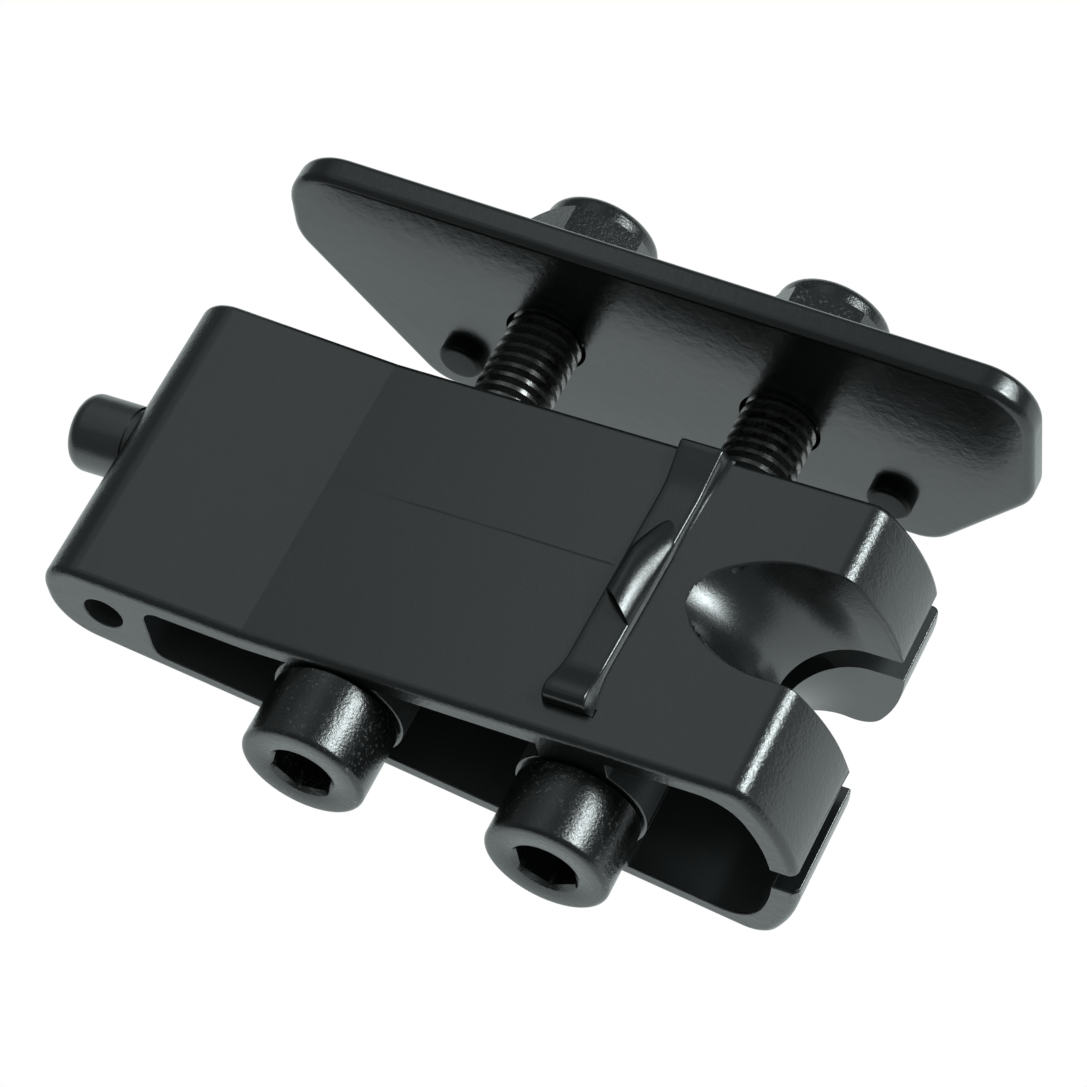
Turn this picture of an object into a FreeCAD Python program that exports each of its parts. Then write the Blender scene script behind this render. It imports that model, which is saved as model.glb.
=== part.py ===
import FreeCAD, Part
import math
import os

import Sketcher

# Bike lock bracket: a cast wedge that carries the lock, pulled on to the bicycle frame by a plate,
# two socket screws and two lock nuts.
# Millimetres. X runs along the flat top, Y along the screws towards the frame, +Z up.
# The origin lies half way between the two screws, in the casting's back face.

doc = FreeCAD.newDocument("bike_lock_bracket")
sheet = doc.addObject("Spreadsheet::Sheet", "Sizes")

sizes = {
    # casting, seen from the front
    "body_width": 35.0,        # front face to back face
    "mid_plane": 15.7,         # back face to the plane of the pin, the web and the trough
    "top_height": 8.8,         # flat top above the origin
    "crease_reach": 22.2,      # origin to the crease in the top, towards the nose
    "facet_run": 22.2,         # crease to nose
    "facet_angle": 5.5,        # rise of the top between crease and nose
    "nose_height": 10.4,       # at the nose's sharp corners
    "bottom_slope": 12.15,     # fall of the bottom wall between nose and crease
    "low_crease": 14.0,        # origin to the slight crease in the bottom wall, towards the nose
    "heel_reach": 30.0,        # origin to the end of the bottom wall
    "end_radius": 19.2,        # bowed end wall
    "end_centre": 15.65,       # origin to the centre of that bow
    "end_level": 12.6,         # that centre below the flat top
    "nose_top_round": 4.2,
    "nose_low_round": 5.8,
    "end_top_round": 2.5,
    "heel_round": 3.5,
    "front_edge_round": 0.9,
    "back_edge_round": 0.8,
    # walls, web and bosses left between the cored pockets
    "top_wall": 2.3,
    "low_wall": 2.1,
    "end_wall": 2.8,
    "nose_block": 11.2,        # solid behind the nose
    "web": 3.0,                # between the front and the back pockets
    "pocket_round": 1.6,
    "inner_end_round": 5.0,    # corners of the end pocket
    "inner_heel_round": 4.0,
    "boss_radius": 6.9,
    "column_width": 7.2,       # joins each boss to both walls
    # trough for the lock's tube, and the strap slot in the end
    "trough_radius": 6.6,
    "trough_wall": 2.4,
    "bend_radius": 15.2,       # the trough's floor bends down over the end
    "bend_reach": 9.5,         # origin to the centre of that bend
    "bend_drop": 13.5,         # that centre below the flat top
    "slot_drop": 12.0,         # slot's upper face below the flat top
    "slot_height": 3.0,
    "slot_depth": 13.6,        # inwards from the crown of the end wall
    # nose pin and its set screw
    "pin_diameter": 8.0,
    "pin_reach": 6.4,          # beyond the nose
    "pin_seat": 9.2,           # inside the nose
    "pin_drop": 4.0,           # pin axis below the flat top
    "pin_round": 1.6,
    "pin_neck": 7.6,           # diameter inside the nose
    "pin_shoulder": 0.1,       # neck's end beyond the nose
    "pin_clearance": 0.02,
    "cross_hole": 4.2,
    "cross_inset": 6.4,        # nose to cross hole
    "set_screw_length": 8.0,
    "set_screw_socket": 2.5,
    "set_screw_clearance": 0.05,
    # catch strip on the top
    "strip_width": 4.7,
    "strip_reach": 11.6,       # origin to the strip's middle
    "strip_front": 3.2,        # front face to the strip's front end
    "strip_back": 0.9,         # back face to the strip's back end
    "strip_thick": 0.9,
    "strip_rise": 1.8,         # raised ends above the flat top
    "fold_width": 1.0,
    "ramp_length": 3.7,
    "tab_depth": 1.2,
    "tab_clearance": 0.05,
    "back_skirt": 1.6,         # spread of the raised ends' side at the foot
    "front_skirt": 0.9,
    "skirt_start": 0.2,
    "back_skirt_run": 9.5,
    "front_skirt_run": 5.0,
    "scoop_tip": 9.3,          # back face to the scoop's closed tip
    "scoop_length": 10.4,
    "scoop_width": 4.3,        # at the open mouth
    "scoop_rise": 1.9,
    "scoop_start": 0.45,       # tip's share of that width
    "scoop_wall": 0.55,
    # screws
    "bolt_pitch": 25.6,
    "bolt_tilt": 6.6,          # fall of the line through the screws
    "thread_diameter": 8.0,
    "head_diameter": 13.0,
    "head_height": 8.0,
    "head_round": 1.0,
    "bolt_inset": 1.9,         # screw's end inside the nut's end
    "bolt_point": 0.8,
    "socket_width": 6.0,
    "socket_depth": 4.2,
    "socket_turn_left": 11.0,
    "socket_turn_right": 30.0,
    "bore_clearance": 0.3,
    "head_gap": 0.1,
    # clamp plate, its grip studs and the lock nuts
    "clamp_gap": 12.2,         # back face to plate
    "plate_thick": 3.5,
    "plate_left": 40.7,        # plate's ends, from half way between the holes
    "plate_right": 39.6,
    "plate_top": 16.0,         # above the line through the holes
    "plate_low": 13.0,
    "shoulder_left": 5.0,      # where the lower corners begin, above that line
    "shoulder_right": -0.6,
    "foot_left": 26.3,         # ends of the lower edge
    "foot_right": 29.2,
    "plate_top_round": 6.0,
    "plate_low_round": 5.0,
    "plate_edge_round": 1.0,
    "plate_play": 0.7,         # the plate hangs this far off centre on each screw
    "plate_clearance": 0.3,
    "stud_left": 22.6,
    "stud_right": 24.8,
    "stud_drop": 6.5,
    "stud_radius": 2.4,
    "stud_height": 1.5,
    "stud_round": 0.5,
    "stem_radius": 1.7,
    "stem_clearance": 0.02,
    "nut_width": 13.0,
    "nut_hex_height": 8.7,
    "nut_height": 11.1,
    "flange_radius": 8.9,
    "flange_height": 1.1,
    "flange_rise": 1.6,        # of the cone between the flange and the hexagon
    "nut_turn": 12.0,
    "nut_chamfer": 0.65,
    "collar_radius": 6.2,
    "collar_round": 1.3,
    "crimp_radius": 4.7,
    "crimp_height": 0.5,
    "insert_radius": 5.2,
    "insert_height": 2.3,
    "thread_clearance": 0.08,
}
for row, (name, number) in enumerate(sizes.items(), start=1):
    sheet.set(f"A{row}", name)
    sheet.set(f"B{row}", str(number))
    sheet.setAlias(f"B{row}", name)
doc.recompute()


def value(text):
    return float(sheet.evalExpression(text))


def spell(text):
    # names of sizes as other objects refer to them
    out = ""
    word = ""
    for letter in text + " ":
        if letter.isalnum() or letter == "_":
            word += letter
            continue
        out += f"Sizes.{word}" if word in sizes else word
        out += letter
        word = ""
    return out.strip()


def bind(thing, path, text):
    thing.setExpression(path, spell(text))


def newBody(label):
    body = doc.addObject("PartDesign::Body", label)
    body.Label = label
    return body


def newSketch(body, name, plane, offset="0", turn=None, base=None):
    # a sketch on one of the body's own planes, moved along that plane's normal
    sketch = body.newObject("Sketcher::SketchObject", name)
    support = [item for item in body.Origin.OriginFeatures if item.Role == plane][0]
    sketch.AttachmentSupport = [(support, "")]
    sketch.MapMode = "FlatFace"
    if base is None:
        bind(sketch, "AttachmentOffset.Base.z", offset)
        return sketch
    sketch.AttachmentOffset = FreeCAD.Placement(
        FreeCAD.Vector(*[value(item) for item in base]),
        FreeCAD.Rotation(FreeCAD.Vector(0, 1, 0), value(turn)))
    for axis, item in zip("xyz", base):
        bind(sketch, f"AttachmentOffset.Base.{axis}", item)
    bind(sketch, "AttachmentOffset.Rotation.Angle", turn)
    return sketch


def pinPoint(sketch, geometry, end, name, x, y):
    # ties one point of the sketch to the sketch's origin
    for kind, text in (("DistanceX", x), ("DistanceY", y)):
        number = value(text)
        index = sketch.addConstraint(Sketcher.Constraint(kind, -1, 1, geometry, end, number))
        label = f"{name}{kind[-1]}"
        sketch.renameConstraint(index, label)
        bind(sketch, f"Constraints.{label}", text)


def drawLoop(sketch, points, name="p", bowed=None, radius=None):
    # closed outline through points given as expressions, with one side bowed outwards where that is asked
    first = sketch.GeometryCount
    places = [FreeCAD.Vector(value(x), value(y), 0) for x, y in points]
    count = len(points)
    for index in range(count):
        start = places[index]
        stop = places[(index + 1) % count]
        side = Part.LineSegment(start, stop)
        if index == bowed:
            half = (stop - start) * 0.5
            size = value(radius)
            inward = FreeCAD.Vector(-half.y, half.x, 0) * (1 / half.Length)
            centre = start + half + inward * math.sqrt(size * size - half.Length * half.Length)
            side = Part.Arc(start, centre - inward * size, stop)
        sketch.addGeometry(side, False)
    for index in range(count):
        following = first + (index + 1) % count
        sketch.addConstraint(Sketcher.Constraint("Coincident", first + index, 2, following, 1))
    for index, (x, y) in enumerate(points):
        pinPoint(sketch, first + index, 1, f"{name}{index}", x, y)
    if bowed is not None:
        rule = sketch.addConstraint(Sketcher.Constraint("Radius", first + bowed, value(radius)))
        sketch.renameConstraint(rule, f"{name}Bow")
        bind(sketch, f"Constraints.{name}Bow", radius)


def drawCircle(sketch, x, y, radius, name="c"):
    centre = FreeCAD.Vector(value(x), value(y), 0)
    circle = Part.Circle(centre, FreeCAD.Vector(0, 0, 1), value(radius))
    index = sketch.addGeometry(circle, False)
    pinPoint(sketch, index, 3, name, x, y)
    rule = sketch.addConstraint(Sketcher.Constraint("Radius", index, value(radius)))
    sketch.renameConstraint(rule, f"{name}Radius")
    bind(sketch, f"Constraints.{name}Radius", radius)


def drawHexagon(sketch, width, turn, name="h"):
    reach = f"({width} / sqrt(3))"
    corners = []
    for step in range(6):
        angle = f"({turn} + {60 * step})"
        corners.append((f"{reach} * cos({angle})", f"{reach} * sin({angle})"))
    drawLoop(sketch, corners, name)


def addPad(body, name, sketch, length, flipped=False):
    pad = body.newObject("PartDesign::Pad", name)
    pad.Profile = sketch
    pad.Reversed = flipped
    bind(pad, "Length", length)
    sketch.Visibility = False
    doc.recompute()
    return pad


def addPocket(body, name, sketch, depth=None, flipped=False):
    before = body.Shape.Volume
    pocket = body.newObject("PartDesign::Pocket", name)
    pocket.Profile = sketch
    pocket.Reversed = flipped
    if depth is None:
        pocket.Type = "ThroughAll"
    else:
        bind(pocket, "Length", depth)
    sketch.Visibility = False
    doc.recompute()
    if body.Shape.Volume >= before - 1e-6:
        raise RuntimeError(f"{name} removes nothing")
    return pocket


def addTurned(body, name, sketch, cut=False, axis="V_Axis", angle=360.0, both=False):
    before = body.Shape.Volume if cut else 0.0
    turned = body.newObject("PartDesign::Groove" if cut else "PartDesign::Revolution", name)
    turned.Profile = sketch
    turned.ReferenceAxis = (sketch, [axis])
    turned.Angle = angle
    turned.Midplane = both
    sketch.Visibility = False
    doc.recompute()
    if cut and body.Shape.Volume >= before - 1e-6:
        raise RuntimeError(f"{name} removes nothing")
    return turned


def addRound(body, name, test, radius):
    # rounds every edge of the body so far that passes the test
    base = body.Tip
    edges = []
    for index, edge in enumerate(base.Shape.Edges, start=1):
        if test(edge):
            edges.append(f"Edge{index}")
    if not edges:
        raise RuntimeError(f"{name} finds no edge")
    rounding = body.newObject("PartDesign::Fillet", name)
    rounding.Base = (base, edges)
    bind(rounding, "Radius", radius)
    doc.recompute()
    return rounding


def alongY(x, z, reach=0.02):
    # test for straight edges that run along Y through one place
    def test(edge):
        ends = [vertex.Point for vertex in edge.Vertexes]
        if len(ends) != 2:
            return False
        for point in ends:
            if abs(point.x - value(x)) > reach or abs(point.z - value(z)) > reach:
                return False
        return True
    return test


def rimAt(y, radius, reach=0.02):
    # test for whole circles round the Y axis
    def test(edge):
        curve = edge.Curve
        if not isinstance(curve, Part.Circle):
            return False
        return abs(curve.Center.y - value(y)) < reach and abs(curve.Radius - value(radius)) < reach
    return test


# Casting
noseX = "(-crease_reach - facet_run)"
noseTopZ = "(top_height + facet_run * tan(facet_angle))"
noseLowZ = f"({noseTopZ} - nose_height)"
endX = "(end_centre + sqrt(end_radius * end_radius - end_level * end_level))"
endReach = "(end_centre + end_radius)"
heelSpan = "(heel_reach - end_centre)"
heelZ = f"(top_height - end_level - sqrt(end_radius * end_radius - {heelSpan} * {heelSpan}))"
leftX = "(-bolt_pitch / 2 * cos(bolt_tilt))"
leftZ = "(bolt_pitch / 2 * sin(bolt_tilt))"
rightX = "(bolt_pitch / 2 * cos(bolt_tilt))"
rightZ = "(-bolt_pitch / 2 * sin(bolt_tilt))"
screws = {"left": (leftX, leftZ), "right": (rightX, rightZ)}
boltLength = "(body_width + head_gap + clamp_gap + plate_thick + nut_height - bolt_inset)"


def noseFloor(x):
    # bottom wall between the nose and its crease
    return f"({noseLowZ} - ({x} - {noseX}) * tan(bottom_slope))"


lowCreaseZ = noseFloor("(-low_crease)")
lowFall = f"(({lowCreaseZ} - {heelZ}) / (heel_reach + low_crease))"


def lowZ(x):
    # bottom wall between its crease and the heel
    return f"({heelZ} + (heel_reach - {x}) * {lowFall})"


casting = newBody("bracket_body")
corners = [
    ("-crease_reach", "top_height"),
    (noseX, noseTopZ),
    (noseX, noseLowZ),
    ("-low_crease", lowCreaseZ),
    ("heel_reach", heelZ),
    (endX, "top_height"),
]
outline = newSketch(casting, "wedge_outline", "XZ_Plane")
drawLoop(outline, corners, bowed=4, radius="end_radius")
addPad(casting, "wedge", outline, "body_width")

# Pockets cored from both sides; the end pocket stops short of the trough
innerTopZ = "(top_height - top_wall)"
coreX = f"({noseX} + nose_block)"
innerBow = "(end_radius - end_wall)"
innerLevel = "(end_level - top_wall)"
innerEndX = f"(end_centre + sqrt({innerBow} * {innerBow} - {innerLevel} * {innerLevel}))"
innerHeelX = "(heel_reach - end_wall * 0.55)"
mainCore = [
    (coreX, f"{innerTopZ} + (-crease_reach - {coreX}) * tan(facet_angle)"),
    ("-crease_reach", innerTopZ),
    (rightX, innerTopZ),
    (rightX, f"{lowZ(rightX)} + low_wall"),
    ("-low_crease", f"{lowCreaseZ} + low_wall"),
    (coreX, f"{noseFloor(coreX)} + low_wall"),
]
endCore = [
    (rightX, f"{lowZ(rightX)} + low_wall"),
    (innerHeelX, f"{lowZ(innerHeelX)} + low_wall"),
    (innerEndX, innerTopZ),
    (rightX, innerTopZ),
]
frontDepth = "(body_width - mid_plane - web / 2)"
backDepth = "(mid_plane - web / 2)"
endFrontDepth = "(body_width - mid_plane - trough_radius - trough_wall)"
endBackDepth = "(mid_plane - trough_radius - trough_wall)"
for name, loop, bowed, front, back in (
        ("main_core", mainCore, None, frontDepth, backDepth),
        ("end_core", endCore, 1, endFrontDepth, endBackDepth)):
    sketch = newSketch(casting, f"{name}_front_outline", "XZ_Plane", "body_width")
    drawLoop(sketch, loop, bowed=bowed, radius=innerBow)
    addPocket(casting, f"{name}_front", sketch, front)
    sketch = newSketch(casting, f"{name}_back_outline", "XZ_Plane")
    drawLoop(sketch, loop, bowed=bowed, radius=innerBow)
    addPocket(casting, f"{name}_back", sketch, back, flipped=True)

# Bosses round the screws, and the columns that join them to the walls
columns = newSketch(casting, "column_outline", "XZ_Plane")
for side, (x, z) in screws.items():
    near = f"({x} - column_width / 2)"
    far = f"({x} + column_width / 2)"
    drawLoop(columns, [
        (near, "top_height - top_wall / 2"),
        (far, "top_height - top_wall / 2"),
        (far, f"{lowZ(far)} + low_wall / 2"),
        (near, f"{lowZ(near)} + low_wall / 2"),
    ], side)
addPad(casting, "columns", columns, "body_width")
bosses = newSketch(casting, "boss_outline", "XZ_Plane")
for side, (x, z) in screws.items():
    drawCircle(bosses, x, z, "boss_radius", side)
addPad(casting, "bosses", bosses, "body_width")

innerTop = value(innerTopZ)
creaseX = value("-crease_reach")
facetSlope = value("tan(facet_angle)")


def inPocketCorner(edge):
    # straight edges along Y where pocket sides meet the inside of the top or bottom wall
    ends = [vertex.Point for vertex in edge.Vertexes]
    if len(ends) != 2 or abs(ends[0].x - ends[1].x) > 0.01 or abs(ends[0].z - ends[1].z) > 0.01:
        return False
    x = ends[0].x
    z = ends[0].z
    if abs(x - creaseX) < 0.05 or x > value(rightX) + value("boss_radius"):
        return False
    roofZ = innerTop + max(0.0, creaseX - x) * facetSlope
    floorZ = value(f"{noseFloor('0')} + low_wall") - x * value("tan(bottom_slope)")
    return abs(z - roofZ) < 0.02 or abs(z - floorZ) < 0.02


def nearNose(edge):
    return inPocketCorner(edge) and edge.CenterOfMass.x < value(f"({coreX} + {leftX}) / 2")


addRound(casting, "pocket_corners", nearNose, "pocket_round")
addRound(casting, "inner_end_round", alongY(innerEndX, innerTopZ), "inner_end_round")
addRound(casting, "inner_heel_round", alongY(innerHeelX, f"{lowZ(innerHeelX)} + low_wall"), "inner_heel_round")
for name, (x, z), radius in (
        ("nose_top", corners[1], "nose_top_round"),
        ("nose_low", corners[2], "nose_low_round"),
        ("heel", corners[4], "heel_round"),
        ("end_top", corners[5], "end_top_round")):
    addRound(casting, f"{name}_rounding", alongY(x, z), radius)


def rimOfFace(y):
    # test for the outer edges of the flat face at one end of the casting
    flat = [face for face in casting.Tip.Shape.Faces
            if isinstance(face.Surface, Part.Plane) and abs(face.CenterOfMass.y - y) < 1e-3]
    widest = max(flat, key=lambda face: face.BoundBox.DiagonalLength)
    loop = widest.OuterWire.Edges

    def test(edge):
        return any(edge.isSame(item) for item in loop)
    return test


addRound(casting, "front_edge", rimOfFace(value("-body_width")), "min(front_edge_round; low_wall * 0.7)")
addRound(casting, "back_edge", rimOfFace(0.0), "min(back_edge_round; low_wall * 0.7)")

# Strap slot, then the trough, which bends down over the end like the shackle that lies in it
slot = newSketch(casting, "slot_outline", "XZ_Plane")
slotIn = f"({endReach} - slot_depth)"
slotOut = f"({endReach} + slot_depth)"
slotTop = "(top_height - slot_drop)"
slotLow = "(top_height - slot_drop - slot_height)"
drawLoop(slot, [(slotIn, slotLow), (slotOut, slotLow), (slotOut, slotTop), (slotIn, slotTop)])
addPocket(casting, "slot", slot, flipped=True)


trough = newSketch(casting, "trough_outline", "XY_Plane", turn="0",
                   base=("bend_reach", "-mid_plane", "top_height - bend_drop"))
troughX = "(bend_radius + trough_radius)"
farX = "(body_width * 2)"
middle = value(troughX)
far = value(farX)
half = value("trough_radius")
bend = Part.Circle(FreeCAD.Vector(middle, 0, 0), FreeCAD.Vector(0, 0, 1), half)
trough.addGeometry(Part.ArcOfCircle(bend, math.pi / 2, 3 * math.pi / 2), False)
for start, stop in (((middle, -half), (far, -half)), ((far, -half), (far, half)), ((far, half), (middle, half))):
    trough.addGeometry(Part.LineSegment(FreeCAD.Vector(*start, 0), FreeCAD.Vector(*stop, 0)), False)
for first, following in ((0, 1), (1, 2), (2, 3), (3, 0)):
    trough.addConstraint(Sketcher.Constraint("Coincident", first, 2, following, 1))
pinPoint(trough, 0, 3, "middle", troughX, "0")
pinPoint(trough, 1, 1, "low", troughX, "-trough_radius")
pinPoint(trough, 2, 1, "farLow", farX, "-trough_radius")
pinPoint(trough, 3, 1, "farHigh", farX, "trough_radius")
trough.addConstraint(Sketcher.Constraint("Vertical", 0, 1, 0, 3))
addTurned(casting, "trough", trough, cut=True, angle=180.0, both=True)

# Bores for the screws, the nose pin, its set screw and the strip's two tabs
bores = newSketch(casting, "bore_outline", "XZ_Plane")
for side, (x, z) in screws.items():
    drawCircle(bores, x, z, "thread_diameter / 2 + bore_clearance", side)
addPocket(casting, "bores", bores, flipped=True)
pinZ = "(top_height - pin_drop)"
pinSeat = newSketch(casting, "pin_seat_outline", "YZ_Plane", noseX)
drawCircle(pinSeat, "-mid_plane", pinZ, "pin_neck / 2 + pin_clearance")
addPocket(casting, "pin_bore", pinSeat, "pin_seat", flipped=True)
crossX = f"({noseX} + cross_inset)"
cross = newSketch(casting, "cross_outline", "XZ_Plane", "body_width")
drawCircle(cross, crossX, pinZ, "cross_hole / 2")
addPocket(casting, "cross_hole", cross, "body_width - mid_plane")
stripFront = "(-body_width + strip_front)"
stripBack = "(-strip_back)"
stripNear = "(strip_reach - strip_width / 2)"
stripFar = "(strip_reach + strip_width / 2)"
tabSlots = newSketch(casting, "tab_slot_outline", "XY_Plane", "top_height")
for name, low, high in (
        ("front", f"{stripFront} - tab_clearance", f"{stripFront} + strip_thick + tab_clearance"),
        ("back", f"{stripBack} - strip_thick - tab_clearance", f"{stripBack} + tab_clearance")):
    near = f"({stripNear} - tab_clearance)"
    over = f"({stripFar} + tab_clearance)"
    drawLoop(tabSlots, [(near, low), (over, low), (over, high), (near, high)], name)
addPocket(casting, "tab_slots", tabSlots, "tab_depth + tab_clearance")

# Catch strip: one folded profile, pulled across its width
strip = newBody("catch_strip")
profile = newSketch(strip, "strip_profile", "YZ_Plane", stripNear)
flat = "(top_height + strip_thick)"
crest = "(top_height + strip_rise)"
root = "(top_height - tab_depth)"
drawLoop(profile, [
    (stripFront, root),
    (stripFront, crest),
    (f"{stripFront} + fold_width", crest),
    (f"{stripFront} + fold_width + ramp_length", flat),
    (f"{stripBack} - fold_width - ramp_length", flat),
    (f"{stripBack} - fold_width", crest),
    (stripBack, crest),
    (stripBack, root),
    (f"{stripBack} - strip_thick", root),
    (f"{stripBack} - strip_thick", "top_height"),
    (f"{stripFront} + strip_thick", "top_height"),
    (f"{stripFront} + strip_thick", root),
])
addPad(strip, "strip", profile, "strip_width")

# Skirts that spread to the side under the two raised ends
for name, start, stop, spread in (
        ("back", stripBack, f"({stripBack} - back_skirt_run)", "back_skirt"),
        ("front", stripFront, f"({stripFront} + front_skirt_run)", "front_skirt")):
    sections = []
    for end, y, top, foot in (("raised", start, crest, spread), ("flat", stop, flat, "skirt_start")):
        section = newSketch(strip, f"{name}_skirt_{end}", "XZ_Plane", f"-({y})")
        drawLoop(section, [
            (f"{stripFar} - strip_thick", "top_height"),
            (f"{stripFar} + {foot}", "top_height"),
            (stripFar, f"{top}"),
            (f"{stripFar} - strip_thick", f"{top}"),
        ])
        sections.append(section)
    skirt = strip.newObject("PartDesign::AdditiveLoft", f"{name}_skirt")
    skirt.Profile = sections[0]
    skirt.Sections = [sections[1]]
    skirt.Ruled = True
    doc.recompute()

# Lanced scoop: an arch that widens and rises towards its open mouth, then the hollow under it


def drawArch(sketch, width, height):
    # flat foot across the strip and one arc over it
    foot = "(top_height + strip_thick * 0.6)"
    ends = ((f"strip_reach - {width} / 2", foot), (f"strip_reach + {width} / 2", foot))
    places = [FreeCAD.Vector(value(x), value(y), 0) for x, y in ends]
    top = (places[0] + places[1]) * 0.5 + FreeCAD.Vector(0, value(height), 0)
    sketch.addGeometry(Part.LineSegment(places[0], places[1]), False)
    sketch.addGeometry(Part.Arc(places[1], top, places[0]), False)
    sketch.addConstraint(Sketcher.Constraint("Coincident", 0, 2, 1, 1))
    sketch.addConstraint(Sketcher.Constraint("Coincident", 1, 2, 0, 1))
    pinPoint(sketch, 0, 1, "near", *ends[0])
    pinPoint(sketch, 0, 2, "far", *ends[1])
    radius = f"(({width} / 2) * ({width} / 2) + ({height}) * ({height})) / (2 * ({height}))"
    rule = sketch.addConstraint(Sketcher.Constraint("Radius", 1, value(radius)))
    sketch.renameConstraint(rule, "arch")
    bind(sketch, "Constraints.arch", radius)


for name, wall, past, kind in (
        ("scoop", "0", "0", "PartDesign::AdditiveLoft"),
        ("scoop_hollow", "scoop_wall", "scoop_wall / 4", "PartDesign::SubtractiveLoft")):
    sections = []
    for index, (along, share, rise) in enumerate((
            (f"{wall} * 3", "scoop_start", "0.35"),
            ("scoop_length * 0.5", "0.82", "0.8"),
            (f"scoop_length + {past}", "1", "1"))):
        section = newSketch(strip, f"{name}_arch_{index}", "XZ_Plane", f"scoop_tip + {along}")
        drawArch(section, f"(scoop_width * {share} - {wall} * 2 * {share})",
                 f"((scoop_rise + strip_thick * 0.4) * {rise} - {wall} * {rise})")
        sections.append(section)
    shell = strip.newObject(kind, name)
    shell.Profile = sections[0]
    shell.Sections = sections[1:]
    doc.recompute()

# Nose pin
pin = newBody("nose_pin")
pinNeck = newSketch(pin, "pin_neck_outline", "YZ_Plane", f"{noseX} + pin_seat - pin_clearance")
drawCircle(pinNeck, "-mid_plane", pinZ, "pin_neck / 2")
addPad(pin, "pin_neck_pad", pinNeck, "pin_seat - pin_clearance + pin_shoulder", flipped=True)
pinRound = newSketch(pin, "pin_outline", "YZ_Plane", f"{noseX} - pin_shoulder")
drawCircle(pinRound, "-mid_plane", pinZ, "pin_diameter / 2")
addPad(pin, "pin", pinRound, "pin_reach - pin_shoulder", flipped=True)
tipX = value(f"{noseX} - pin_reach")
addRound(pin, "pin_tip", lambda edge: edge.BoundBox.XLength < 0.01 and abs(edge.CenterOfMass.x - tipX) < 0.01, "pin_round")

# Set screw in the cross hole, bearing on the pin
grub = newBody("pin_set_screw")
grubFace = "(mid_plane + pin_neck / 2 + pin_clearance + set_screw_length)"
grubRound = newSketch(grub, "set_screw_outline", "XZ_Plane", grubFace)
drawCircle(grubRound, crossX, pinZ, "cross_hole / 2 - set_screw_clearance")
addPad(grub, "set_screw", grubRound, "set_screw_length", flipped=True)
grubHex = newSketch(grub, "set_screw_socket_outline", "XZ_Plane", grubFace)
reach = "(set_screw_socket / sqrt(3))"
drawLoop(grubHex, [(f"{crossX} + {reach} * cos({60 * step})", f"{pinZ} + {reach} * sin({60 * step})")
                   for step in range(6)])
addPocket(grub, "set_screw_hex", grubHex, "set_screw_length * 0.4")

# Clamp plate, in its own frame: holes on the line z = 0, then rolled as it hangs on the screws
roll = "(bolt_tilt * 1 deg - asin(plate_play / (bolt_pitch / 2)))"


def hang(body, x, y, z, turn):
    body.Placement = FreeCAD.Placement(FreeCAD.Vector(value(x), value(y), value(z)),
                                       FreeCAD.Rotation(FreeCAD.Vector(0, 1, 0), value(turn)))
    for axis, text in zip("xyz", (x, y, z)):
        bind(body, f"Placement.Base.{axis}", text)
    bind(body, "Placement.Rotation.Angle", turn)


plate = newBody("clamp_plate")
plateSketch = newSketch(plate, "plate_outline", "XZ_Plane")
plateCorners = [
    ("-plate_left", "plate_top"),
    ("plate_right", "plate_top"),
    ("plate_right", "shoulder_right"),
    ("foot_right", "-plate_low"),
    ("-foot_left", "-plate_low"),
    ("-plate_left", "shoulder_left"),
]
drawLoop(plateSketch, plateCorners)
addPad(plate, "plate", plateSketch, "plate_thick", flipped=True)
for index, (x, z) in enumerate(plateCorners):
    radius = "plate_top_round" if index < 2 else "plate_low_round"
    addRound(plate, f"plate_corner_{index}", alongY(x, z), radius)


def plateRim(edge):
    return edge.BoundBox.YLength < 0.01


addRound(plate, "plate_edges", plateRim, "plate_edge_round")
plateHoles = newSketch(plate, "plate_hole_outline", "XZ_Plane")
for side, sign in (("left", "-"), ("right", "")):
    drawCircle(plateHoles, f"{sign}bolt_pitch / 2", "0",
               "thread_diameter / 2 + plate_play + plate_clearance", side)
    drawCircle(plateHoles, f"{sign}stud_{side}", "-stud_drop", "stem_radius + stem_clearance", f"{side}Stem")
addPocket(plate, "plate_holes", plateHoles)
hang(plate, "0", "clamp_gap", "0", roll)

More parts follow.
